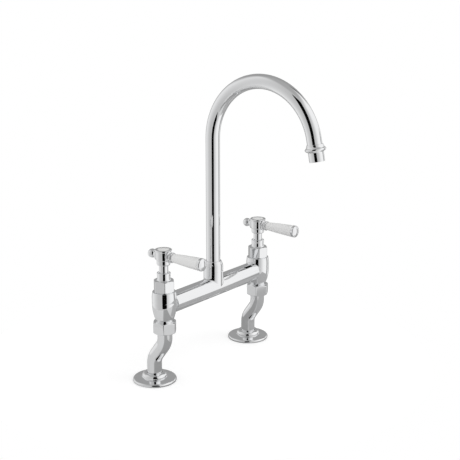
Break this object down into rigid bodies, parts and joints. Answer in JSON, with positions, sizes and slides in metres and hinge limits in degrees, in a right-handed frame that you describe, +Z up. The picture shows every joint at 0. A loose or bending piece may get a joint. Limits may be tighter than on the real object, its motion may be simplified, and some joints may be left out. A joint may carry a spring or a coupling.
{
  "type": "bridge kitchen faucet",
  "caption": "Deck-mounted bridge faucet with cranked legs, quarter-turn ceramic levers and a swivelling swan-neck spout.",
  "frame": {"origin": "on the worktop, midway between the two feet", "axes": "+Z up along the columns, +X from the hot column to the cold one, -Y forwards over the sink"},
  "size_m": [0.2318, 0.1977, 0.3578],
  "materials": {
    "chrome": "polished",
    "lever_ceramic": "gloss",
    "index_enamel": "gloss",
    "brass": "machined",
    "steel": "machined",
    "disc_ceramic": "lapped",
    "rubber": "matt",
    "outlet_plastic": "moulded"
  },
  "bodies": {
    "bridge": {"bridge_tube": "chrome", "spout_tee": "chrome", "spout_grub_screw": "steel", "hot_leg_washer": "rubber", "hot_union_nut": "chrome", "hot_valve_body": "chrome", "hot_seat_seal": "rubber", "hot_fixed_disc": "disc_ceramic", "hot_cartridge_body": "brass", "hot_bonnet": "chrome", "cold_leg_washer": "rubber", "cold_union_nut": "chrome", "cold_valve_body": "chrome", "cold_seat_seal": "rubber", "cold_fixed_disc": "disc_ceramic", "cold_cartridge_body": "brass", "cold_bonnet": "chrome"},
    "spout": {"spout_tube": "chrome", "spout_tail": "brass", "spout_seals": "rubber", "outlet_nozzle": "chrome", "flow_straightener": "outlet_plastic"},
    "hot_handle": {"hot_handle_hub": "chrome", "hot_handle_screw": "steel", "hot_index_disc": "index_enamel", "hot_finial": "chrome", "hot_lever_rod": "steel", "hot_lever_ferrule": "chrome", "hot_lever_sleeve": "lever_ceramic", "hot_lever_cap": "chrome", "hot_spindle": "brass", "hot_spindle_seals": "rubber", "hot_moving_disc": "disc_ceramic"},
    "hot_leg": {"hot_cranked_leg": "chrome", "hot_leg_tail": "chrome"},
    "hot_flange": {"hot_cover_flange": "chrome"},
    "cold_handle": {"cold_handle_hub": "chrome", "cold_handle_screw": "steel", "cold_index_disc": "index_enamel", "cold_finial": "chrome", "cold_lever_rod": "steel", "cold_lever_ferrule": "chrome", "cold_lever_sleeve": "lever_ceramic", "cold_lever_cap": "chrome", "cold_spindle": "brass", "cold_spindle_seals": "rubber", "cold_moving_disc": "disc_ceramic"},
    "cold_leg": {"cold_cranked_leg": "chrome", "cold_leg_tail": "chrome"},
    "cold_flange": {"cold_cover_flange": "chrome"}
  },
  "joints": [
    {"name": "spout_swivel", "type": "hinge", "parent": "bridge", "child": "spout", "pos_m": [0, -0.0161, 0.12], "axis": [0, 0, 1], "continuous": true},
    {"name": "hot_lever_turn", "type": "hinge", "parent": "bridge", "child": "hot_handle", "pos_m": [-0.0888, -0.0161, 0.14], "axis": [0, 0, 1], "range_deg": [-90, 0]},
    {"name": "hot_leg_swivel", "type": "hinge", "parent": "bridge", "child": "hot_leg", "pos_m": [-0.0888, -0.0161, 0.065], "axis": [0, 0, 1], "continuous": true},
    {"name": "hot_flange_lift", "type": "slide", "parent": "hot_leg", "child": "hot_flange", "axis": [0, 0, 1], "range_m": [0, 0.012]},
    {"name": "cold_lever_turn", "type": "hinge", "parent": "bridge", "child": "cold_handle", "pos_m": [0.0888, -0.0161, 0.14], "axis": [0, 0, 1], "range_deg": [0, 90]},
    {"name": "cold_leg_swivel", "type": "hinge", "parent": "bridge", "child": "cold_leg", "pos_m": [0.0888, -0.0161, 0.065], "axis": [0, 0, 1], "continuous": true},
    {"name": "cold_flange_lift", "type": "slide", "parent": "cold_leg", "child": "cold_flange", "axis": [0, 0, 1], "range_m": [0, 0.012]}
  ]
}
